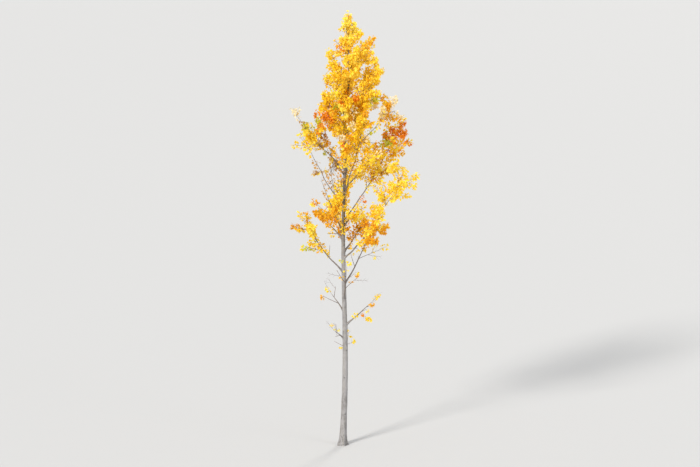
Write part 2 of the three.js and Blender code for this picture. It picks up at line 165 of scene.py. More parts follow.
# Windows of sky that show through the crown, along the line of sight: right, height, radius.
SKY_WINDOWS = (
    (860, 8520, 260),
    (-600, 7780, 330),
    (-520, 6960, 370),
    (430, 6850, 290),
    (-1250, 7450, 300),
    (1350, 6250, 320),
    (-1350, 5700, 270),
)

# Chance: its seed, and a number for each kind of thing that is left to it.
SEED = 105
MIX_A = 0x9E3779B1
MIX_B = 0x85EBCA6B
WORD = 0xFFFFFFFF
ANGLE, TURN, LENGTH, SPRAY, ROLL, BARE, FACE, SIZE, STEM_SPRAY, SPUR, TINT, SCAR, TRUNK_SHOOT = range(1, 14)

METRE = 1000
MARCH_STEP = 25
NEARLY_UPRIGHT = 0.95
UP = Vector((0, 0, 1))
RIGHT = Vector((1, 0, 0))
BACK = Vector((0, 1, 0))

# Branchlets: a twiglet along each spray, with spurs to either side that carry the leaves.
TWIGLET_SHARE = 0.84
TWIGLET_STEPS = 4
TWIGLET_LIFT = 0.5
TWIGLET_RADII = (3.6, 1.7)
TWIGLET_BARE = 0.55
SPURS = (6, 8)
SPUR_FIRST = 0.1
SPUR_ANGLES = (64, 34)
SPUR_TURN_RANGE = 62
SPUR_FILL = 0.62
SPUR_SHORTEST = 45
SPUR_LENGTH_RANGE = 0.3
SPUR_LIFT = 1.6
SPUR_STEPS = 3
SPUR_RADII = (1.9, 1.1)
SPUR_BARE = 0.4
WOOD_SPUR_SPACING = 75
WOOD_SPUR_LENGTH = 60
WOOD_SPUR_ANGLE = 52
WOOD_SPURS_ALIKE = 4
LEAFY_FROM = 0.12

# Spurs and twiglet ends that have dropped their leaves: a few anywhere, most below the crown, and many in
# places where the crown is thin: right, height, radius, share. Bare spurs on thicker wood are short stubs.
STUB_POINTS = 2
DROPPED_SHARE = 0.2
DROPPED_SHARE_TOP = 0
FULLEST_ABOVE = 9300
DROPPED_SHARE_LOW = 0.88
LEAFY_ABOVE = 5750
LEAFLESS_BELOW = 5050
THIN_PLACES = (
    (-250, 7450, 680, 0.78),
    (-750, 7800, 450, 0.5),
    (-120, 8020, 300, 0.75),
    (-1080, 8270, 430, 0.62),
    (380, 6900, 450, 0.6),
    (1500, 6800, 420, 0.4),
    (-1250, 6300, 520, 0.75),
    (1600, 7560, 320, 0.7),
)

# Short shoots on the trunk inside the crown.
TRUNK_SHOOTS_FROM = 5600
TRUNK_SHOOTS_TO = 10450
TRUNK_SHOOT_SPACING = 55
TRUNK_SHOOT_LENGTH = 190
TRUNK_SHOOT_PITCH = 38
TRUNK_SHOOT_PITCH_RANGE = SPUR_TURN_RANGE / 3

# Wood: how slim limbs and twigs are at their tips, how far they stray from their straight course, how many
# sides they have, and how their bark swells and sinks, in metres.
LIMB_SLIMMING = 0.6
TWIG_SLIMMING = 0.55
COLLAR = 0.55
COLLAR_LENGTH = 70
WANDER = 34
WANDER_LENGTH = 520
WANDER_FREE = 260
COURSE_STEP = 22
STEEPEST_LEVEL = 0.1
LIMB_SIDES = 14
TWIG_SIDES = 4
LIMB_RELIEF = 0.005
LIMB_RELIEF_SCALE = 14.0
RELIEF_NOISE = (3.0, 0.6)

# Leaves: blade length in metres, the stalk and blade in blade lengths, and how they hang.
LEAF_LENGTH = 0.062
LEAF_SIZE_RANGE = 0.22
LEAF_SPACING = 0.0092
LEAF_STALK = 0.55
LEAF_STALK_WIDTH = 0.024
LEAF_OUTLINE = ((0.0, 0.05), (0.07, 0.36), (0.3, 0.49), (0.64, 0.3), (1.0, 0.0))
LEAF_SHAPES = ((18, 12), (30, 34), (8, 52))
LEAF_SPREAD = 58
LEAF_SPREAD_RANGE = 0.35
LEAF_DROOP = 0.55
LEAF_FACE_UP = 0.7
LEAF_ROUGHNESS = 0.5
LEAF_GLOSS = 0.35
LEAF_GLOW = 0.42
SEEDS_APART = 10

# Tints: each one's colour and its share of the sprays, the places in the crown where most sprays take a tint
# of the place's own, some as painted light or shade, and the share of a spray's spurs that stray from its
# tint.
TINTS = {
    "gold": ("#fbd92c", 30),
    "bright": ("#ffe34c", 24),
    "deep_gold": ("#f6c720", 18),
    "amber": ("#edb018", 9),
    "lemon": ("#fcea62", 8),
    "orange": ("#f09a1e", 3),
    "tan": ("#c99f5c", 3),
    "lime": ("#d0ce40", 3),
    "cream": ("#f2e4ba", 2),
}
TINT_PLACES = (
    # The tan place: duller leaves where the crown lies in shade, painted shade.
    (-480, 7400, 560, "tan"),
    # The lemon tip and the bright spire: paler leaves for the sunlit top of the crown, painted light.
    (220, 11400, 450, "lemon"),
    (300, 10300, 780, "bright"),
    (1450, 8450, 420, "orange"),
    (-350, 8850, 240, "orange"),
    (-1250, 8380, 260, "cream"),
    (1450, 7200, 430, "bright"),
    (-450, 6250, 330, "amber"),
    (450, 5750, 480, "amber"),
    (-1260, 9080, 330, "cream"),
    (-900, 8800, 320, "lime"),
    (1450, 9350, 330, "cream"),
)
# Most sprays in a place take its tint, which also strengthens the painted light on the spire.
PLACE_SHARE = 0.7
STRAY_TINTS = 0.4

# Trunk mesh, and its bark's relief: noise of a length, a stretch in height and a number of octaves.
TRUNK_RINGS = 560
TRUNK_SIDES = 96
TRUNK_RING_CROWDING = 1.35
FURROW_NOISE = (42, 6, 3)
FURROW_HEIGHT = 850
FURROW_DEPTH = 9
FURROW_SLOPE = 4
FURROW_ROUNDING = 1.5
FURROW_DARK = 0.75
FURROW_DARK_SLOPE = 7
SWELL_NOISE = (160, 1.6, 2)
SWELL_DEPTH = 3.5
GRAIN_NOISE = (18, 0.4, 2)
GRAIN_DEPTH = 0.7

# Knots where limbs leave the trunk, and scars where lower ones have gone. Places and widths on them are in
# their own radii: to the side, up and down.
KNOT_REACH = 6
KNOT_WIDTH = 1.5
KNOT_UP = 1.3
KNOT_DOWN = 2.6
KNOT_BROW = 1.4
SCARS = 30
SCAR_HEIGHTS = (500, 7200)
SCAR_RADII = (9, 19)
SCAR_NARROWNESS = (0.8, 1.3)
SCAR_RISE = 3.2
SCAR_RIM = 0.4
SCAR_HOLLOW = 0.6
SCAR_HOLLOW_DEPTH = 0.8
SCAR_DARK = 0.85
SCAR_BROW = 1.1
BROW_SLOPE = 0.75
BROW_DARK = 0.65
BROW_THICKNESS = 0.22
BROW_WIDTH = 2.4

# Bark colours.
BARK_PALE = "#9a9796"
BARK_SHADE = "#716d6b"
BARK_STAIN = "#8b8874"
BARK_YOUNG = "#6f6558"
BARK_DARK = "#2c2624"
YOUNG_BARK = (4.6, 6.6)
LIMB_YOUNG = "#7d7167"
LIMB_SHADE = "#5c514c"
TWIG_YOUNG = "#6f4a3b"
TWIG_SHADE = "#4c3028"
THICK_LIMB = (0.012, 0.034)
THICK_TWIG = (0.004, 0.009)

# Bark patterns: the stretch in height, scale, detail and roughness of each one's noise, the levels between
# which it sets in, and how strongly it colours the bark.
CLOUDS = (0.5, 9.0, 5.0, 0.6, 0.35, 0.68)
STREAKS = (0.12, 26.0, 4.0, 0.6, 0.45, 0.75)
PORES = (7.0, 30.0, 2.0, 0.5, 0.62, 0.7)
CLOUDED = 0.75
STREAKED = 0.3
PORED = 0.55
PORE_DEPTH = 0.8
GRAIN = (3.0, 60.0, 4.0, 0.65)
GRAIN_BUMP = {"Strength": 0.5, "Distance": 0.002}
SMOOTHEST_BARK = 0.62
ROUGHER_IN_GRAIN = 0.2
ROUGHER_IN_DARK = 0.1

# Studio: floor, surround, lamps (which way, width in degrees, strength, colour), and the camera.
FLOOR_WIDTH = 4000
FLOOR_COLOUR = "#bdbdbc"
FLOOR_ROUGHNESS = 0.9
SURROUND = "#f1f3f7"
SURROUND_STRENGTH = 0.76
LAMPS = (
    ("key", (-15, -19, 21), 12, 3.4, (1, 0.97, 0.93)),
    ("fill", (20, -14, 12), 25, 0.8, (0.93, 0.96, 1)),
    ("rim", (8, 19, 18), 14, 1.1, (1, 0.97, 0.92)),
)
LENS = 110
SENSOR = 36
IMAGE_WIDTH = 700
IMAGE_HEIGHT = 467
VIEW_DOWN = 10
VIEW_MARGIN = 1.07
VIEW_RIGHT = 0.2
VIEW_MIDDLE = 0.5
VIEW_DEPTHS = 20

TREE_HEIGHT = CROWN_TOP / METRE
TURN_ROUND = 2 * math.pi


def lerp(low, high, share):
    return low + (high - low) * share


def chance(*keys):
    """A repeatable number from 0 to 1 for a few whole-number keys."""
    value = SEED
    for key in keys:
        value = ((value ^ (key + 1)) * MIX_A) & WORD
        value ^= value >> 15
        value = (value * MIX_B) & WORD
        value ^= value >> 13
    return value / 2**32


def spread(reach, *keys):
    """A repeatable number up to reach above or below zero."""
    return reach * (2 * chance(*keys) - 1)


def varied(value, reach, *keys):
    """A value made larger or smaller by chance, by up to a share of it."""
    return value * (1 + spread(reach, *keys))


# Crown and trunk

Station = namedtuple("Station", "point way")
Place = namedtuple("Place", "point way radius")
Limb = namedtuple("Limb", "stations radii length roll")
Mass = namedtuple("Mass", "name limb whole index")
Spray = namedtuple("Spray", "root way side size corners origin")

CROWN_LEVELS, CROWN_RADII = np.array(CROWN_OUTLINE, float).T


def trunk_axis(height):
    """The trunk's middle at one height or at an array of heights, as x and y."""
    share = height / TRUNK_TOP
    bow = BOW * np.sin(BOW_WAVES * math.pi * share)
    return LEAN_RIGHT * share + bow, LEAN_BACK * share - bow * share


def trunk_point(height):
    return Vector((*trunk_axis(height), height))


def trunk_radius(height, angle=0.0):
    left = np.maximum(0, 1 - height / TRUNK_TOP)
    taper = lerp(TRUNK_TIP_RADIUS, TRUNK_FOOT_RADIUS, left**TRUNK_TAPER)
    lobes = 1 + FLARE_LOBE_DEPTH * np.cos(FLARE_LOBES * angle)
    return taper + FLARE * lobes * np.exp(-height / FLARE_HEIGHT)


def from_axis(points):
    """How far points lie right of, behind and out from the trunk's axis."""
    x, y = trunk_axis(points[:, 2])
    right = points[:, 0] - x
    back = points[:, 1] - y
    return right, back, np.hypot(right, back)


def crown_radius(points):
    right, back, _ = from_axis(points)
    side = np.cos(np.arctan2(back, right))
    plain = np.interp(points[:, 2], CROWN_LEVELS, CROWN_RADII, right=0)
    return plain * np.where(points[:, 2] < CROWN_LEVELS[0], 1, 1 + FULLER_RIGHT * side)


def spray_size(height):
    return lerp(*SPRAY_SIZES, height / CROWN_TOP)


def way_down(height, top, bottom):
    """How far down a height lies from a top to a bottom, from 0 to 1."""
    return min(1, max(0, (top - height) / (top - bottom)))


def is_bare(height, *keys):
    """Whether a spray has already dropped its leaves, as more of them have lower down."""
    return chance(*keys, BARE) < BARE_SHARE_LOWEST * way_down(height, FULL_ABOVE, BARE_BELOW)


# Limbs


def square_to(way, roll):
    """A way square to another, rolled round it."""
    level = way.cross(RIGHT if abs(way.z) > NEARLY_UPRIGHT else UP).normalized()
    return Quaternion(way, math.radians(roll)) @ level


def tilted(way, aside, angle):
    """A way turned by an angle towards another that is square to it."""
    return way * math.cos(math.radians(angle)) + aside * math.sin(math.radians(angle))


def branch_way(way, angle, turn):
    """A way that leaves another by an angle, turned round it."""
    return tilted(way, square_to(way, turn), angle)


def march(start, heading, step, rise):
    """Points a step apart along a limb, each with the way it grows there, which rises with each step."""
    way = heading.normalized()
    point = start.copy()
    while True:
        yield Station(point.copy(), way.copy())
        point += way * step
        way.z += rise
        way.normalize()


def course(start, heading, length, steps, lift):
    """A limb's stations from end to end. It turns upwards by lift for each metre."""
    return list(islice(march(start, heading, length / steps, lift * length / steps / METRE), steps + 1))


def length_to_outline(start, heading, lift, reach):
    """The length at which a limb reaches a share of the crown's outline, less the spray at its tip."""
    way = heading.normalized()
    spray = SPRAY_LENGTH * spray_size(start.z) * math.hypot(way.x, way.y)
    for i, (point, _) in enumerate(march(start, heading, MARCH_STEP, lift * MARCH_STEP / METRE)):
        here = np.array([point])
        long_enough = i * MARCH_STEP >= LIMB_SHORTEST
        if long_enough and from_axis(here)[2][0] + spray >= crown_radius(here)[0] * reach:
            return i * MARCH_STEP


def along(limb, share):
    """The place, way and radius of a limb at a share of its length."""
    place = share * (len(limb.stations) - 1)
    index = min(int(place), len(limb.stations) - 2)
    part = place - index
    first, second = limb.stations[index : index + 2]
    radius = lerp(limb.radii[index], limb.radii[index + 1], part)
    return Place(first.point.lerp(second.point, part), first.way.lerp(second.way, part).normalized(), radius)


def bough_height(place):
    return lerp(*BOUGH_HEIGHTS, (place / (BOUGHS - 1)) ** BOUGH_CROWDING)


def turn_at(place):
    return FIRST_BOUGH_TURN + GOLDEN_ANGLE * place


def limb_from_trunk(index, height, turn, pitch, lift, thickness, reach):
    """A main limb's whole course and its radii, from the trunk's axis to the tip."""
    heading = tilted(tilted(RIGHT, BACK, turn), UP, pitch)
    start = trunk_point(height)
    length = length_to_outline(start, heading, lift, varied(reach, MASS_REACH_RANGE, index))
    base = float(trunk_radius(height)) * thickness
    radii = [lerp(LIMB_TIP_RADIUS, base, (1 - i / LIMB_STEPS) ** LIMB_TAPER) for i in range(LIMB_STEPS + 1)]
    return Limb(course(start, heading, length, LIMB_STEPS, lift), radii, length, turn)


def mass_on(masses, name, whole, first):
    """Adds the mass whose stem is what is left of a limb from one station on."""
    stations = whole.stations[first:]
    length = whole.length * (len(stations) - 1) / (len(whole.stations) - 1)
    radii = [radius * STEM_THICKENING for radius in whole.radii[first:]]
    roll = 360 * chance(len(masses), ROLL)
    masses.append(Mass(name, Limb(stations, radii, length, roll), whole, len(masses)))


def shoot_mass(masses, name, height, turn, pitch, reach):
    """Adds the mass on a whole shoot, straight from the trunk."""
    whole = limb_from_trunk(len(masses), height, turn, pitch, SHOOT_LIFT, SHOOT_THICKNESS, reach)
    mass_on(masses, name, whole, 0)


def numbered(name, index):
    return f"{name}{index + 1:02d}"


def grow_limbs():
    """The boughs' near parts and every mass, in the order that chance deals with them."""
    boughs = []
    masses = []
    near = round(LIMB_STEPS * BOUGH_SHARE)
    for i in range(BOUGHS):
        usual = lerp(*BOUGH_PITCHES, i / (BOUGHS - 1)), 1
        pitch, reach = STRAY_BOUGHS.get(i, usual)
        whole = limb_from_trunk(i, bough_height(i), turn_at(i), pitch, BOUGH_LIFT, BOUGH_THICKNESS, reach)
        boughs.append(Limb(whole.stations[: near + 1], whole.radii[: near + 1], 0, whole.roll))
        mass_on(masses, numbered("foliage_", i), whole, near)
    for i in range(SHOOTS):
        share = i / (SHOOTS - 1)
        rise = lerp(*SHOOT_HEIGHTS, share), turn_at(BOUGHS + i), lerp(*SHOOT_PITCHES, share)
        shoot_mass(masses, numbered("upper_foliage_", i), *rise, 1)
    for i in range(INNER_SHOOTS):
        place = INNER_AFTER_BOUGH + i + 0.5
        rise = bough_height(place), turn_at(place), INNER_PITCH
        shoot_mass(masses, numbered("inner_foliage_", i), *rise, INNER_REACH)
    stations = course(trunk_point(TRUNK_TOP), UP, LEADER_LENGTH, LEADER_STEPS, 0)
    radii = [lerp(TRUNK_TIP_RADIUS, LIMB_TIP_RADIUS, i / LEADER_STEPS) for i in range(LEADER_STEPS + 1)]
    mass_on(masses, "top_foliage", Limb(stations, radii, LEADER_LENGTH, 0), 0)
    return boughs, masses


# Own spaces


class Segments:
    """The straight pieces of several limbs, for measuring from many points at once."""

    def __init__(self, limbs):
        pieces = [
            (first.point, second.point, radius, owner)
            for owner, limb in enumerate(limbs)
            for first, second, radius in zip(limb.stations, limb.stations[1:], limb.radii)
        ]
        self.starts, ends, self.radii, self.owners = (np.array(part) for part in zip(*pieces))
        self.spans = ends - self.starts

    def distances(self, points):
        away = points[:, None, :] - self.starts
        share = np.clip((away * self.spans).sum(-1) / (self.spans**2).sum(-1), 0, 1)
        return np.linalg.norm(away - share[..., None] * self.spans, axis=-1)


BOUGH_LIMBS, MASSES = grow_limbs()
BOUGH_SEGMENTS = Segments(BOUGH_LIMBS)
MASS_SEGMENTS = Segments([mass.limb for mass in MASSES])


def in_crown(points):
    if (from_axis(points)[2] >= crown_radius(points) * (1 + MASS_REACH_RANGE)).any():
        return False
    return not any(
        (np.hypot(points[:, 0] - right, points[:, 2] - height) < radius).any()
        for right, height, radius in SKY_WINDOWS
    )


def clear_of_limbs(points, clearance):
    heights = np.minimum(points[:, 2], TRUNK_TOP)
    axis = np.stack([*trunk_axis(heights), heights], axis=1)
    if (np.linalg.norm(points - axis, axis=1) < trunk_radius(heights) + clearance).any():
        return False
    return bool((BOUGH_SEGMENTS.distances(points) - BOUGH_SEGMENTS.radii > clearance).all())


def in_own_space(mass, points):
    distances = MASS_SEGMENTS.distances(points)
    own = MASS_SEGMENTS.owners == mass.index
    others = (distances - MASS_SEGMENTS.radii)[:, ~own].min(axis=1)
    return bool((distances[:, own].min(axis=1) + SPACE_CLEARANCE < others).all())


def fits(mass, points, clearance):
    points = np.array(points)
    return in_crown(points) and clear_of_limbs(points, clearance) and in_own_space(mass, points)


# Twigs and sprays


def half_width(share):
    """A spray's half width at a share of its length, as a share of its widest."""
    return share / SPRAY_WIDEST if share < SPRAY_WIDEST else (1 - share) / (1 - SPRAY_WIDEST)


def spray_point(root, way, side, size, share, aside):
    out = SPRAY_WIDTH * size * half_width(share) * aside / 2
    return root + way * (SPRAY_LENGTH * size * share) + side * out


def spray_at(place, origin, *keys):
    """A spray that grows on from a place, rolled round its length. Its origin is inside the wood there."""
    side = square_to(place.way, spread(SPRAY_ROLL, *keys, FACE))
    size = varied(spray_size(place.point.z), SPRAY_SIZE_RANGE, *keys, SIZE)
    shape = (place.point, place.way, side, size)
    outer = ((CLEAR_OF_ROOT, 0), (SPRAY_WIDEST, 1), (1, 0), (SPRAY_WIDEST, -1))
    return Spray(*shape, [spray_point(*shape, share, aside) for share, aside in outer], origin)


def side_spray_at(place, turn, *keys):
    """A spray that leaves a twig or stem sideways."""
    angle = lerp(*SPRAY_ANGLES, place.point.z / CROWN_TOP)
    way = branch_way(place.way, angle, turn + spread(SPRAY_TURN_RANGE, *keys, SPRAY))
    to_bark = place.radius / 2 / math.sin(math.radians(angle))
    return spray_at(Place(place.point + way * to_bark, way, 0), place.point, *keys)


def edges_of(points, closed=False):
    ends = points[1:] + points[:1] if closed else points[1:]
    return list(zip(points, ends))


def passes_through(line, corners):
    """Whether a line between two points passes through a spray."""
    start, end = line
    way = end - start
    root, left, tip, right = corners
    for triangle in ((root, left, tip), (root, tip, right)):
        hit = intersect_ray_tri(*triangle, way, start)
        if hit and (hit - start).dot(way) > 0 and (hit - start).length < way.length:
            return True
    return False


def blocks(one, other):
    return any(passes_through(edge, other.corners) for edge in edges_of(one.corners, True)) or any(
        passes_through(edge, one.corners) for edge in edges_of(other.corners, True)
    )


def spray_fits(mass, spray):
    shape = spray[:4]
    shares = [i / SPRAY_CHECKS for i in range(1, SPRAY_CHECKS + 1)]
    points = [spray_point(*shape, share, aside) for share in shares for aside in SIDE_CHECKS]
    return fits(mass, [p for p in points if (p - spray.root).length > SPRAY_CLEARANCE], SPRAY_CLEARANCE)


def twig_at(mass, place, angle, turn, length):
    """A twig from a place on the stem, or nothing where even a short one would not fit."""
    way = branch_way(place.way, angle, turn)
    for part in TWIG_TRIES:
        checked = course(place.point, way, length * part, TWIG_CHECKS, 0)[1:]
        if fits(mass, [station.point for station in checked], TWIG_CLEARANCE):
            return Limb(course(place.point, way, length * part, 1, 0), TWIG_RADII, length * part, turn)
    return None


def growth_of(mass):
    """A mass's twigs, and its sprays each with the keys that chance knows it by."""
    stem = mass.limb
    spacing = TWIG_SPACING * spray_size(stem.stations[0].point.z) ** 2
    count = max(2, math.floor((stem.length - TWIG_FIRST) / spacing + 0.5))
    twigs = []
    planned = [lambda tried: spray_at(along(stem, 1), along(stem, 1).point, mass.index, tried)]
    for k in range(count):
        keys = (mass.index, k)
        share = (TWIG_FIRST + (stem.length - TWIG_FIRST) * (k + 0.5) / count) / stem.length
        angle = lerp(*TWIG_ANGLES, share) + spread(TWIG_ANGLE_RANGE, *keys, ANGLE)
        turn = stem.roll + FACET_TURN * k + spread(TWIG_TURN_RANGE, *keys, TURN)
        length = varied(lerp(*TWIG_LENGTHS, share), TWIG_LENGTH_RANGE, *keys, LENGTH)
        twig = twig_at(mass, along(stem, share), angle, turn, length)
        if twig:
            twigs.append(twig)
            planned.extend(sprays_on(twig, keys))
        beyond = along(stem, min(LAST_STEM_SPRAY, share + spacing / 2 / stem.length))
        planned.append(stem_spray(stem, beyond, k, keys))
    return twigs, chosen_sprays(mass, twigs, planned)


def sprays_on(twig, keys):
    planned = [lambda tried: spray_at(along(twig, 1), along(twig, 1).point, *keys, 0, tried)]
    for j, part in enumerate(SIDE_SPRAY_PLACES):
        planned.append(
            lambda tried, j=j, part=part: side_spray_at(
                along(twig, part), twig.roll + FACET_TURN * (j + tried), *keys, j + 1, tried
            )
        )
    return planned


def stem_spray(stem, place, k, keys):
    return lambda tried: side_spray_at(
        place, stem.roll + FACET_TURN * (k + 2 + tried), *keys, STEM_SPRAY, tried
    )


def chosen_sprays(mass, twigs, planned):
    """Each planned spray in the first of its tried turns that fits and crosses nothing of its mass."""
    wood = [line for limb in (mass.limb, *twigs) for line in edges_of([s.point for s in limb.stations])]
    sprays = []
    for i, spray in enumerate(planned):
        if i > 0 and is_bare(spray(0).root.z, mass.index, i):
            continue
        for tried in range(SPRAY_TRIES):
            candidate = spray(tried)
            crosses = any(blocks(candidate, other) for other in sprays) or any(
                passes_through(line, candidate.corners) for line in wood
            )
            if not crosses and (i == 0 or spray_fits(mass, candidate)):
                sprays.append(candidate)
                break
    return sprays


# Branchlets


class Lines:
    """Lines of points with a radius at each, kept together until they become one mesh."""

    def __init__(self):
        self.points = []
        self.radii = []
        self.edges = []

    def add(self, points, radii=None):
        first = len(self.points)
        self.points.extend(wandered(point) for point in points)
        self.radii.extend([0.0] * len(points) if radii is None else (float(radius) for radius in radii))
        self.edges.extend((i, i + 1) for i in range(first, len(self.points) - 1))

    def add_spur(self, spur, radii):
        """Adds a spur, or its first points, with a radius that goes evenly from one to another along it."""
        self.add([s.point for s in spur], [lerp(*radii, i / SPUR_STEPS) for i in range(len(spur))])

    def mesh(self, name):
        made = bpy.data.meshes.new(name)
        made.from_pydata([point / METRE for point in self.points], self.edges, [])
        thickness = made.attributes.new("thickness", "FLOAT", "POINT")
        thickness.data.foreach_set("value", np.array(self.radii, np.float32) / METRE)
        return made


def wandered(point):
    """Where a point of straight wood lies once the wood has strayed, as it does more away from the trunk."""
    point = Vector(point)
    x, y = trunk_axis(min(point.z, CROWN_TOP))
    free = min(1, math.hypot(point.x - x, point.y - y) / WANDER_FREE)
    return point + noise.noise_vector(point / WANDER_LENGTH) * (WANDER * free)


def smooth_line(points, count):
    """A smooth line in count steps through some points."""
    points = np.array(points, float)
    padded = np.vstack([2 * points[0] - points[1], points, 2 * points[-1] - points[-2]])
    place = np.linspace(0, len(points) - 1, count + 1)
    index = np.minimum(place.astype(int), len(points) - 2)
    t = (place - index)[:, None]
    a, b, c, d = (padded[index + k] for k in range(4))
    return (2 * b + (c - a) * t + (2 * a - 5 * b + 4 * c - d) * t**2 + (3 * b - 3 * c + d - a) * t**3) / 2


def add_limb(lines, limb, slimming, collar=0.0, out_of_trunk=0.0):
    """Adds a limb as close points, slimmer towards its tip and wider where it leaves the trunk."""
    count = max(3, round(limb.length / COURSE_STEP))
    points = smooth_line([station.point for station in limb.stations], count)
    share = np.linspace(0, 1, count + 1)
    radii = np.interp(share, np.linspace(0, 1, len(limb.radii)), limb.radii) * lerp(1, slimming, share)
    beyond = np.maximum(0, share * limb.length - out_of_trunk)
    lines.add(points, radii * (1 + collar * np.exp(-beyond / COLLAR_LENGTH)))


def outer_part(stations, share):
    """The points of a short limb from a share of its length on."""
    limb = Limb(stations, (0,) * len(stations), 0, 0)
    kept = [station.point for i, station in enumerate(stations) if i / (len(stations) - 1) > share]
    return [along(limb, share).point, *kept]


def spur_at(spray, place, share, turn, *keys):
    """A short spur that leaves a twiglet and ends inside its spray's outline."""
    angle = lerp(*SPUR_ANGLES, share)
    level = (spray.side - place.way * spray.side.dot(place.way)).normalized()
    out = Quaternion(place.way, math.radians(turn + spread(SPUR_TURN_RANGE, *keys, TURN))) @ level
    way = tilted(place.way, out, angle)
    reach = SPRAY_WIDTH * spray.size / 2 * half_width(share * TWIGLET_SHARE) * SPUR_FILL
    length = max(SPUR_SHORTEST, reach / math.sin(math.radians(angle)))
    return course(place.point, way, varied(length, SPUR_LENGTH_RANGE, *keys, LENGTH), SPUR_STEPS, SPUR_LIFT)


def add_branchlet(twigs, leafed, spray, *keys):
    """The twiglet inside a spray's reach and its spurs, with their leafed parts dealt out by tint."""
    length = SPRAY_LENGTH * spray.size * TWIGLET_SHARE
    stations = course(spray.root, spray.way, length, TWIGLET_STEPS, TWIGLET_LIFT)
    radii = [lerp(*TWIGLET_RADII, i / TWIGLET_STEPS) for i in range(TWIGLET_STEPS + 1)]
    twiglet = Limb(stations, radii, length, 0)
    twigs.add([spray.origin, *(s.point for s in stations)], [TWIGLET_RADII[0], *radii])
    tint = dealt_tint(spray.root, *keys)
    count = round(lerp(*SPURS, spray.root.z / CROWN_TOP))
    for k in range(count):
        share = lerp(SPUR_FIRST, 1, k / (count - 1))
        place = along(twiglet, share)
        spur = spur_at(spray, place, share, 180 * k, *keys, SPUR, k)
        twigs.add_spur(spur, SPUR_RADII)
        if has_dropped(place.point, *keys, SPUR, k):
            continue
        strays = chance(*keys, SPUR, k, TINT) < STRAY_TINTS
        own = dealt_tint(place.point, *keys, SPUR, k) if strays else tint
        leafed[own].add(outer_part(spur, SPUR_BARE))
    if not has_dropped(stations[-1].point, *keys, SPUR):
        leafed[tint].add(outer_part(stations, TWIGLET_BARE))


def has_dropped(point, *keys):
    """Whether a spur or the end of a twiglet has dropped its leaves."""
    usual = DROPPED_SHARE if point.z < FULLEST_ABOVE else DROPPED_SHARE_TOP
    dropped = lerp(usual, DROPPED_SHARE_LOW, way_down(point.z, LEAFY_ABOVE, LEAFLESS_BELOW))
    for right, height, radius, share in THIN_PLACES:
        inside = 1 - math.hypot(point.x - right, point.z - height) / radius
        dropped = max(dropped, share * min(1, 2 * inside))
    return chance(*keys, BARE) < dropped


def add_wood_spurs(twigs, leafed, limb, *keys):
    """Short leafed spurs straight on a stem or twig, set round it by the golden angle."""
    count = round(limb.length / WOOD_SPUR_SPACING)
    for k in range(count):
        place = along(limb, lerp(LEAFY_FROM, 1, (k + 0.5) / count))
        turn = GOLDEN_ANGLE * k + spread(SPUR_TURN_RANGE, *keys, k, TURN)
        way = branch_way(place.way, WOOD_SPUR_ANGLE, turn)
        length = varied(WOOD_SPUR_LENGTH, SPUR_LENGTH_RANGE, *keys, k, LENGTH)
        spur = course(place.point, way, length, SPUR_STEPS, SPUR_LIFT)
        if has_dropped(place.point, *keys, k, SPUR):
            twigs.add_spur(spur[:STUB_POINTS], SPUR_RADII)
            continue
        twigs.add_spur(spur, SPUR_RADII)
        tint = dealt_tint(place.point, *keys, k // WOOD_SPURS_ALIKE)
        leafed[tint].add(outer_part(spur, SPUR_BARE))


def add_trunk_shoots(twigs, leafed):
    """Short leafed shoots on the trunk inside the crown, set round it by the golden angle."""
    for k in range(round((TRUNK_SHOOTS_TO - TRUNK_SHOOTS_FROM) / TRUNK_SHOOT_SPACING)):
        start = trunk_point(TRUNK_SHOOTS_FROM + k * TRUNK_SHOOT_SPACING)
        rise = TRUNK_SHOOT_PITCH + spread(TRUNK_SHOOT_PITCH_RANGE, k, TRUNK_SHOOT, TURN)
        way = tilted(tilted(RIGHT, BACK, GOLDEN_ANGLE * k), UP, rise)
        length = varied(TRUNK_SHOOT_LENGTH, SPUR_LENGTH_RANGE, k, TRUNK_SHOOT, LENGTH)
        shoot = course(start, way, length + float(trunk_radius(start.z)), SPUR_STEPS, SPUR_LIFT)
        twigs.add_spur(shoot, TWIGLET_RADII)
        if not has_dropped(shoot[-1].point, k, TRUNK_SHOOT):
            leafed[dealt_tint(start, k, TRUNK_SHOOT)].add(outer_part(shoot, SPUR_BARE))


# Tints


def dealt_tint(point, *keys):
    """A tint for a point: its place's own, for most points there, or else one by chance in its share."""
    for right, height, radius, tint in TINT_PLACES:
        if math.hypot(point.x - right, point.z - height) < radius and chance(*keys, FACE) < PLACE_SHARE:
            return tint
    drawn = chance(*keys, TINT) * sum(share for _, share in TINTS.values())
    for name, (_, share) in TINTS.items():
        drawn -= share
        if drawn < 0:
            return name
    return name


def paint(colour):
    """A colour written as on a paint card, as the opaque light that it reflects."""
    parts = (int(colour[i : i + 2], 16) / 255 for i in (1, 3, 5))
    return (*(part / 12.92 if part <= 0.04045 else ((part + 0.055) / 1.055) ** 2.4 for part in parts), 1)


# Node trees


class Wire:
    """A node's output. Arithmetic on it adds maths nodes, of the vector kind where a vector takes part."""

    def __init__(self, board, socket):
        self.board = board
        self.socket = socket

    def other(self, name):
        return Wire(self.board, self.socket.node.outputs[name])

    def maths(self, operation, *values):
        if any(is_vector(value) for value in values):
            lifted = [v if is_vector(v) or isinstance(v, Wire) else (v,) * 3 for v in values]
            return self.board.add("ShaderNodeVectorMath", dict(enumerate(lifted)), operation=operation)
        return self.board.add("ShaderNodeMath", dict(enumerate(values)), operation=operation)

    def __add__(self, other):
        return self.maths("ADD", self, other)

    def __sub__(self, other):
        return self.maths("SUBTRACT", self, other)

    def __rsub__(self, other):
        return self.maths("SUBTRACT", other, self)

    def __mul__(self, other):
        return self.maths("MULTIPLY", self, other)

    __radd__ = __add__
    __rmul__ = __mul__

    def normalized(self):
        return self.maths("NORMALIZE", self)


def is_vector(value):
    return value.socket.type == "VECTOR" if isinstance(value, Wire) else isinstance(value, (tuple, Vector))


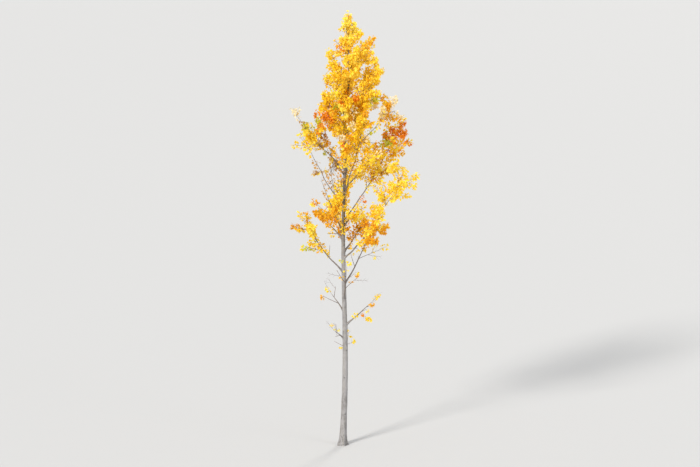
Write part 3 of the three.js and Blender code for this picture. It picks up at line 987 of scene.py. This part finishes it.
class Board:
    """A node tree under construction."""

    def __init__(self, tree):
        self.tree = tree

    def add(self, kind, sockets=None, outlet=0, **settings):
        """Adds a node with its settings, then its sockets' values or links, and gives one of its outputs."""
        node = self.tree.nodes.new(kind)
        for name, value in settings.items():
            setattr(node, name, value)
        for name, value in (sockets or {}).items():
            self.feed(node.inputs[name], value)
        return Wire(self, node.outputs[outlet]) if node.outputs else node

    def feed(self, socket, value):
        if isinstance(value, Wire):
            self.tree.links.new(value.socket, socket)
        else:
            socket.default_value = value

    def blend(self, first, second, factor):
        """A colour between two, by a factor."""
        return self.add("ShaderNodeMix", {0: factor, 6: first, 7: second}, outlet=2, data_type="RGBA")

    def between(self, value, low, high):
        """How far a value has gone from low to high, smoothly, from 0 to 1."""
        sockets = {"Value": value, "From Min": low, "From Max": high}
        return self.add("ShaderNodeMapRange", sockets, interpolation_type="SMOOTHSTEP")

    def noise(self, place, scale, detail, roughness):
        sockets = {"Vector": place, "Scale": scale, "Detail": detail, "Roughness": roughness}
        return self.add("ShaderNodeTexNoise", sockets)

    def scaled(self, vector, by):
        return self.add("ShaderNodeVectorMath", {0: vector, "Scale": by}, operation="SCALE")

    def component(self, vector, name):
        return self.add("ShaderNodeSeparateXYZ", {"Vector": vector}, outlet=name)

    def random_vector(self, seed):
        """A vector of three chances from -1 to 1 at each point."""
        limits = {0: (-1.0,) * 3, 1: (1.0,) * 3, "Seed": seed}
        return self.add("FunctionNodeRandomValue", limits, data_type="FLOAT_VECTOR")


def growing_tree(name, inputs):
    """An empty geometry tree with named inputs after its geometry, and a wire from each."""
    tree = bpy.data.node_groups.new(name, "GeometryNodeTree")
    tree.interface.new_socket("Geometry", in_out="INPUT", socket_type="NodeSocketGeometry")
    tree.interface.new_socket("Geometry", in_out="OUTPUT", socket_type="NodeSocketGeometry")
    for label, kind in inputs.items():
        tree.interface.new_socket(label, in_out="INPUT", socket_type="NodeSocket" + kind)
    board = Board(tree)
    entry = board.add("NodeGroupInput")
    return board, {label: entry.other(label) for label in ("Geometry", *inputs)}


def finish_tree(board, geometry, material):
    """Ends a geometry tree with its instances realized and its material set."""
    whole = board.add("GeometryNodeRealizeInstances", {"Geometry": geometry})
    painted = board.add("GeometryNodeSetMaterial", {"Geometry": whole, "Material": material})
    board.add("NodeGroupOutput", {"Geometry": painted})
    return board.tree


def wood_tree():
    """Round wood along lines, with a radius at each point and a bark that swells and sinks."""
    inputs = {"Sides": "Int", "Relief": "Float", "Relief scale": "Float", "Material": "Material"}
    board, given = growing_tree("wood along lines", inputs)
    curve = board.add("GeometryNodeMeshToCurve", {"Mesh": given["Geometry"]})
    thickness = board.add("GeometryNodeInputNamedAttribute", {"Name": "thickness"}, data_type="FLOAT")
    ring = board.add("GeometryNodeCurvePrimitiveCircle", {"Resolution": given["Sides"], "Radius": 1.0})
    sockets = {"Curve": curve, "Profile Curve": ring, "Scale": thickness, "Fill Caps": True}
    wood = board.add("GeometryNodeCurveToMesh", sockets)
    place = board.add("GeometryNodeInputPosition")
    swell = board.noise(place, given["Relief scale"], *RELIEF_NOISE) - 0.5
    offset = board.scaled(board.add("GeometryNodeInputNormal"), swell * given["Relief"])
    wood = board.add("GeometryNodeSetPosition", {"Geometry": wood, "Offset": offset})
    wood = board.add("GeometryNodeSetShadeSmooth", {"Geometry": wood})
    return finish_tree(board, wood, given["Material"])


def leaf_tree():
    """Leaves set along lines, each one of a few shapes and of a size of its own."""
    inputs = {"Leaves": "Collection", "Seed": "Int", "Material": "Material"}
    inputs |= dict.fromkeys(("Spacing", "Length", "Length range", "Spread", "Droop", "Face up"), "Float")
    board, given = growing_tree("leaves along lines", inputs)
    curve = board.add("GeometryNodeMeshToCurve", {"Mesh": given["Geometry"]})
    sockets = {"Curve": curve, "Length": given["Spacing"]}
    points = board.add("GeometryNodeCurveToPoints", sockets, mode="LENGTH")
    sizes = board.random_vector(given["Seed"] + 2)
    size = given["Length"] * (board.component(sizes, "X") * given["Length range"] + 1)
    sockets = {"Collection": given["Leaves"], "Separate Children": True}
    shapes = board.add("GeometryNodeCollectionInfo", sockets)
    shape = (board.component(sizes, "Y") + 1) * (len(LEAF_SHAPES) / 2)
    sockets = {"Points": points, "Instance": shapes, "Pick Instance": True}
    sockets |= {"Instance Index": shape.maths("FLOOR", shape), "Scale": size}
    sockets["Rotation"] = leaf_facing(board, given, points)
    leaves = board.add("GeometryNodeInstanceOnPoints", sockets)
    return finish_tree(board, leaves, given["Material"])


def leaf_facing(board, given, points):
    """How each leaf is turned: round its line by the golden angle, out from it, and hanging a little."""
    index = board.add("GeometryNodeInputIndex")
    strays = board.random_vector(given["Seed"])
    turn = index * math.radians(GOLDEN_ANGLE) + board.component(strays, "X")
    tangent = points.other("Tangent")
    sockets = {"Vector": points.other("Normal"), "Axis": tangent, "Angle": turn}
    outward = board.add("ShaderNodeVectorRotate", sockets, rotation_type="AXIS_ANGLE")
    opened = given["Spread"] + board.component(strays, "Y") * LEAF_SPREAD_RANGE
    ahead = board.scaled(tangent, opened.maths("COSINE", opened))
    aside = board.scaled(outward, opened.maths("SINE", opened))
    hang = given["Droop"] * (board.component(strays, "Z") + 1)
    way = (ahead + aside - board.scaled(UP, hang)).normalized()
    tilts = board.random_vector(given["Seed"] + 1)
    face = (tilts + board.scaled(UP, given["Face up"])).normalized()
    sockets = {"Primary Axis": way, "Secondary Axis": face}
    return board.add("FunctionNodeAxesToRotation", sockets, primary_axis="Y", secondary_axis="Z")


def grown(name, mesh, tree, **values):
    """A plain mesh piece that a geometry tree grows on a mesh of lines."""
    source = linked(name + ".lines", mesh)
    modifier = source.modifiers.new("growth", "NODES")
    modifier.node_group = tree
    for item in tree.interface.items_tree:
        label = item.name.replace(" ", "_").lower()
        if item.in_out == "INPUT" and label in values:
            modifier[item.identifier] = values[label]
    depsgraph = bpy.context.evaluated_depsgraph_get()
    made = bpy.data.meshes.new_from_object(source.evaluated_get(depsgraph), depsgraph=depsgraph)
    bpy.data.objects.remove(source)
    return linked(name, made)


def linked(name, data):
    """An object in the scene for some data, both under one name."""
    data.name = name
    made = bpy.data.objects.new(name, data)
    bpy.context.scene.collection.objects.link(made)
    return made


# Leaves


def leaf_blade(name, fold, curl):
    """A broad leaf on its stalk, its blade one long, folded up along the midrib and curled to the tip."""
    rise = math.sin(math.radians(fold))
    across = math.cos(math.radians(fold))
    sag = math.tan(math.radians(curl)) / 2
    middle = [Vector((0, LEAF_STALK + share, -sag * share**2)) for share, _ in LEAF_OUTLINE]
    count = len(LEAF_OUTLINE)
    tip = count - 1
    sides = [
        point + Vector((side * width * across, 0, width * rise))
        for side in (-1, 1)
        for point, (_, width) in zip(middle[:tip], LEAF_OUTLINE)
    ]
    stalk_side = LEAF_STALK_WIDTH / 2
    stalk = [Vector((x, y, 0)) for y in (0, LEAF_STALK) for x in (-stalk_side, stalk_side)]
    points = [*middle, *sides, *stalk]
    left, right, stem = count, count + tip, count + 2 * tip
    faces = [(stem, stem + 1, stem + 3, stem + 2)]
    for i in range(tip - 1):
        faces.append((i, i + 1, left + i + 1, left + i))
        faces.append((i, right + i, right + i + 1, i + 1))
    faces.append((tip - 1, tip, left + tip - 1))
    faces.append((tip - 1, right + tip - 1, tip))
    made = bpy.data.meshes.new(name)
    made.from_pydata(points, [], faces)
    return linked(name, made)


def leaf_shapes():
    """The few leaf shapes that every leaf in the crown is one of."""
    made = bpy.data.collections.new("leaf shapes")
    bpy.context.scene.collection.children.link(made)
    for i, (fold, curl) in enumerate(LEAF_SHAPES):
        blade = leaf_blade(numbered("leaf_shape_", i), fold, curl)
        bpy.context.scene.collection.objects.unlink(blade)
        made.objects.link(blade)
    return made


# Trunk


def noise_over(points, length, stretch, octaves):
    """Noise from about -1 to 1 at each point, with features of a length, drawn out along the height."""
    scaled_points = points / (length, length, length * stretch)
    return np.array([noise.fractal(Vector(point), 1.0, 2.0, octaves) for point in scaled_points])


def knots():
    """Where limbs leave the trunk, and the scars where lower ones have gone: height, turn, radius."""
    live = []
    for mass in MASSES[:-1]:
        start, way = mass.whole.stations[0]
        radius = float(trunk_radius(start.z))
        rise = radius * way.z / math.hypot(way.x, way.y)
        live.append((start.z + rise, math.atan2(way.y, way.x), mass.whole.radii[0]))
    scars = []
    for i in range(SCARS):
        height = lerp(*SCAR_HEIGHTS, (i + chance(i, SCAR)) / SCARS)
        radius = lerp(*SCAR_RADII, chance(i, SCAR, SIZE))
        scars.append((height, math.radians(turn_at(i + 0.5)), radius))
    return live, scars


def around_knot(heights, angles, radii, knot):
    """The trunk's points near a knot, and how far each lies aside from and above it, in its radii."""
    height, turn, size = knot
    near = np.flatnonzero(np.abs(heights - height) < KNOT_REACH * size)
    aside = (angles[near] - turn + math.pi) % TURN_ROUND - math.pi
    return near, aside * radii[near] / size, (heights[near] - height) / size


def trunk_relief(heights, angles, radii, points):
    """How far the bark stands out at each point of the trunk, and how dark it is there."""
    grooves = np.abs(noise_over(points, *FURROW_NOISE))
    old_bark = np.exp(-heights / FURROW_HEIGHT)
    relief = -FURROW_DEPTH * old_bark * np.maximum(0, 1 - grooves * FURROW_SLOPE) ** FURROW_ROUNDING
    relief += SWELL_DEPTH * noise_over(points, *SWELL_NOISE)
    relief += GRAIN_DEPTH * noise_over(points, *GRAIN_NOISE)
    dark = FURROW_DARK * old_bark * np.maximum(0, 1 - grooves * FURROW_DARK_SLOPE)
    live, scars = knots()
    for knot in live:
        near, aside, above = around_knot(heights, angles, radii, knot)
        drop = np.where(above > 0, above / KNOT_UP, above / KNOT_DOWN)
        relief[near] += knot[2] * COLLAR * np.exp(-((aside / KNOT_WIDTH) ** 2) - drop**2)
        dark[near] += brow(aside, above - KNOT_BROW)
    for knot in scars:
        near, aside, above = around_knot(heights, angles, radii, knot)
        ring = np.hypot(aside * SCAR_NARROWNESS[0], above * SCAR_NARROWNESS[1])
        rim = np.exp(-(((ring - 1) / SCAR_RIM) ** 2))
        relief[near] += SCAR_RISE * (rim - SCAR_HOLLOW_DEPTH * np.exp(-((ring / SCAR_HOLLOW) ** 2)))
        dark[near] += np.exp(-((ring / SCAR_DARK) ** 4)) + brow(aside, above - SCAR_BROW)
    return relief, np.clip(dark, 0, 1)


def brow(aside, above):
    """The dark fold of bark that arches over a knot and runs down on both sides of it."""
    arch = above + BROW_SLOPE * np.abs(aside)
    return BROW_DARK * np.exp(-((arch / BROW_THICKNESS) ** 2) - (aside / BROW_WIDTH) ** 2)


def trunk_bark(material):
    """The trunk as rings of points with the bark's relief, cut flat at the ground and closed at the top."""
    levels = TRUNK_TOP * np.linspace(0, 1, TRUNK_RINGS + 1) ** TRUNK_RING_CROWDING
    turns = np.linspace(0, TURN_ROUND, TRUNK_SIDES, endpoint=False)
    heights, angles = (grid.ravel() for grid in np.meshgrid(levels, turns, indexing="ij"))
    radii = trunk_radius(heights, angles)
    axis = np.stack([*trunk_axis(heights), heights], axis=1)
    outward = np.stack([np.cos(angles), np.sin(angles), np.zeros_like(angles)], axis=1)
    relief, dark = trunk_relief(heights, angles, radii, axis + outward * radii[:, None])
    points = axis + outward * (radii + relief)[:, None]
    corner = np.arange(TRUNK_RINGS * TRUNK_SIDES).reshape(TRUNK_RINGS, TRUNK_SIDES)
    beside = np.roll(corner, -1, axis=1)
    quads = np.stack([corner, beside, beside + TRUNK_SIDES, corner + TRUNK_SIDES], axis=-1).reshape(-1, 4)
    foot = list(range(TRUNK_SIDES))[::-1]
    top = list(range(TRUNK_RINGS * TRUNK_SIDES, (TRUNK_RINGS + 1) * TRUNK_SIDES))
    made = bpy.data.meshes.new("trunk_bark")
    made.from_pydata(points / METRE, [], [*quads.tolist(), foot, top])
    made.attributes.new("darkness", "FLOAT", "POINT").data.foreach_set("value", dark.astype(np.float32))
    made.shade_smooth()
    made.materials.append(material)
    return linked("trunk_bark", made)


# Materials


def material_board(name):
    material = bpy.data.materials.new(name)
    material.use_nodes = True
    material.node_tree.nodes.clear()
    return material, Board(material.node_tree)


def leaf_material(name, colour):
    """A thin waxy leaf that lets part of the light through."""
    material, board = material_board(name)
    sockets = {"Base Color": colour, "Roughness": LEAF_ROUGHNESS, "Specular IOR Level": LEAF_GLOSS}
    blade = board.add("ShaderNodeBsdfPrincipled", sockets)
    glow = board.add("ShaderNodeBsdfTranslucent", {"Color": colour})
    mixed = board.add("ShaderNodeMixShader", {0: LEAF_GLOW, 1: blade, 2: glow})
    board.add("ShaderNodeOutputMaterial", {"Surface": mixed})
    return material


def bark_material(name, pale, shade, young, thick_wood):
    """Smooth poplar bark: clouded and streaked, with short level pores and dark folds.

    It is pale on thick wood and duller on thin wood or, on the trunk, up in the crown.
    """
    material, board = material_board(name)
    place = board.add("ShaderNodeTexCoord", outlet="Object")
    clouds, streaks, pores = (pattern(board, place, *values) for values in (CLOUDS, STREAKS, PORES))
    dark = board.add("ShaderNodeAttribute", outlet="Fac", attribute_name="darkness")
    if thick_wood:
        thickness = board.add("ShaderNodeAttribute", outlet="Fac", attribute_name="thickness")
        youth = 1 - board.between(thickness, *thick_wood)
    else:
        youth = board.between(board.component(place, "Z"), *YOUNG_BARK)
    colour = board.blend(paint(pale), paint(young), youth)
    colour = board.blend(colour, paint(shade), clouds * CLOUDED)
    colour = board.blend(colour, paint(BARK_STAIN), streaks * STREAKED)
    colour = board.blend(colour, paint(BARK_DARK), pores * PORED)
    colour = board.blend(colour, paint(BARK_DARK), dark)
    grain = stretched_noise(board, place, *GRAIN)
    bump = board.add("ShaderNodeBump", {**GRAIN_BUMP, "Height": grain - pores * PORE_DEPTH})
    rough = dark * ROUGHER_IN_DARK + grain * ROUGHER_IN_GRAIN + SMOOTHEST_BARK
    sockets = {"Base Color": colour, "Roughness": rough, "Normal": bump}
    surface = board.add("ShaderNodeBsdfPrincipled", sockets)
    board.add("ShaderNodeOutputMaterial", {"Surface": surface})
    return material


def stretched_noise(board, place, stretch, scale, detail, roughness):
    return board.noise(place * (1.0, 1.0, stretch), scale, detail, roughness)


def pattern(board, place, stretch, scale, detail, roughness, low, high):
    """How strongly a pattern shows in the bark, from 0 to 1."""
    return board.between(stretched_noise(board, place, stretch, scale, detail, roughness), low, high)


def floor_material():
    material, board = material_board("studio floor")
    sockets = {"Base Color": paint(FLOOR_COLOUR), "Roughness": FLOOR_ROUGHNESS}
    surface = board.add("ShaderNodeBsdfPrincipled", sockets)
    board.add("ShaderNodeOutputMaterial", {"Surface": surface})
    return material


# Studio


def aim(thing, target):
    thing.rotation_euler = (Vector(target) - thing.location).to_track_quat("-Z", "Y").to_euler()


def soft_light(name, place, width, strength, colour):
    """Soft light from one side, as even over the whole floor as a far, wide lamp's."""
    lamp = bpy.data.lights.new(name, "SUN")
    lamp.angle = math.radians(width)
    lamp.energy = strength
    lamp.color = colour
    made = linked(name, lamp)
    made.location = place
    aim(made, (0, 0, TREE_HEIGHT / 2))


def studio():
    """A wide pale floor, soft lamps and an even pale surround."""
    half = FLOOR_WIDTH / 2
    made = bpy.data.meshes.new("floor")
    corners = [(-half, -half, 0), (half, -half, 0), (half, half, 0), (-half, half, 0)]
    made.from_pydata(corners, [], [(0, 1, 2, 3)])
    made.materials.append(floor_material())
    linked("floor", made)
    for lamp in LAMPS:
        soft_light(*lamp)
    world = bpy.data.worlds.new("studio")
    world.use_nodes = True
    sockets = world.node_tree.nodes["Background"].inputs
    sockets["Color"].default_value = paint(SURROUND)
    sockets["Strength"].default_value = SURROUND_STRENGTH
    bpy.context.scene.world = world
    bpy.context.scene.view_settings.view_transform = "Standard"


def camera():
    """A long lens that looks level ahead along the depth and a little down, with the whole tree in view."""
    lens = bpy.data.cameras.new("camera")
    lens.lens = LENS
    lens.sensor_width = SENSOR
    made = linked("camera", lens)
    distance = TREE_HEIGHT * VIEW_MARGIN * LENS / (SENSOR * IMAGE_HEIGHT / IMAGE_WIDTH)
    down = math.radians(VIEW_DOWN)
    target = Vector((VIEW_RIGHT, 0, TREE_HEIGHT * VIEW_MIDDLE))
    made.location = target + Vector((0, -math.cos(down), math.sin(down))) * distance
    aim(made, target)
    lens.clip_end = distance * VIEW_DEPTHS
    bpy.context.scene.camera = made


# The tree


def all_wood():
    """The limbs' bark, the twigs' bark, and the leafed lines of each tint."""
    limbs = Lines()
    twigs = Lines()
    leafed = {tint: Lines() for tint in TINTS}
    for mass in MASSES:
        start, way = mass.whole.stations[0]
        out_of_trunk = float(trunk_radius(start.z)) / max(STEEPEST_LEVEL, math.hypot(way.x, way.y))
        add_limb(limbs, mass.whole, LIMB_SLIMMING, COLLAR, out_of_trunk)
        side_twigs, sprays = growth_of(mass)
        add_wood_spurs(twigs, leafed, mass.limb, mass.index)
        for i, twig in enumerate(side_twigs):
            add_limb(twigs, twig, TWIG_SLIMMING)
            add_wood_spurs(twigs, leafed, twig, mass.index, i)
        for i, spray in enumerate(sprays):
            add_branchlet(twigs, leafed, spray, mass.index, i)
    add_trunk_shoots(twigs, leafed)
    return limbs, twigs, leafed


def bark_pieces(limbs, twigs, foliage):
    """The trunk, the limbs and the twigs, each in bark of its own."""
    wood = wood_tree()
    bark = bark_material("poplar bark", BARK_PALE, BARK_SHADE, BARK_YOUNG, None)
    piece(trunk_bark(bark), ["trunk"])
    bark = bark_material("limb bark", BARK_PALE, LIMB_SHADE, LIMB_YOUNG, THICK_LIMB)
    relief = {"relief": LIMB_RELIEF, "relief_scale": LIMB_RELIEF_SCALE}
    made = grown("bough_bark", limbs.mesh("limbs"), wood, sides=LIMB_SIDES, material=bark, **relief)
    piece(made, [numbered("bough_", i) for i in range(BOUGHS)])
    bark = bark_material("twig bark", LIMB_YOUNG, TWIG_SHADE, TWIG_YOUNG, THICK_TWIG)
    made = grown("twigs", twigs.mesh("twigs"), wood, sides=TWIG_SIDES, material=bark)
    piece(made, foliage)


def leaf_pieces(leafed, foliage):
    """The leaves, as one piece for each tint."""
    leaves = leaf_tree()
    shapes = leaf_shapes()
    habit = {"leaves": shapes, "spacing": LEAF_SPACING, "spread": math.radians(LEAF_SPREAD)}
    habit |= {"length": LEAF_LENGTH, "length_range": LEAF_SIZE_RANGE}
    habit |= {"droop": LEAF_DROOP, "face_up": LEAF_FACE_UP}
    for i, (tint, (colour, _)) in enumerate(TINTS.items()):
        leaf = leaf_material(tint + " leaf", paint(colour))
        seed = SEED + SEEDS_APART * i
        made = grown(tint + "_leaves", leafed[tint].mesh(tint), leaves, seed=seed, material=leaf, **habit)
        piece(made, foliage)
    for blade in list(shapes.objects):
        bpy.data.objects.remove(blade)
    bpy.data.collections.remove(shapes)


def tree():
    """Every piece of the tree, riding on its one body and standing for the solids."""
    limbs, twigs, leafed = all_wood()
    foliage = [mass.name for mass in MASSES]
    bark_pieces(limbs, twigs, foliage)
    leaf_pieces(leafed, foliage)


def piece(made, nodes):
    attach(made, "root")
    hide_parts(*nodes)


noise.seed_set(SEED)
camera()
studio()
tree()
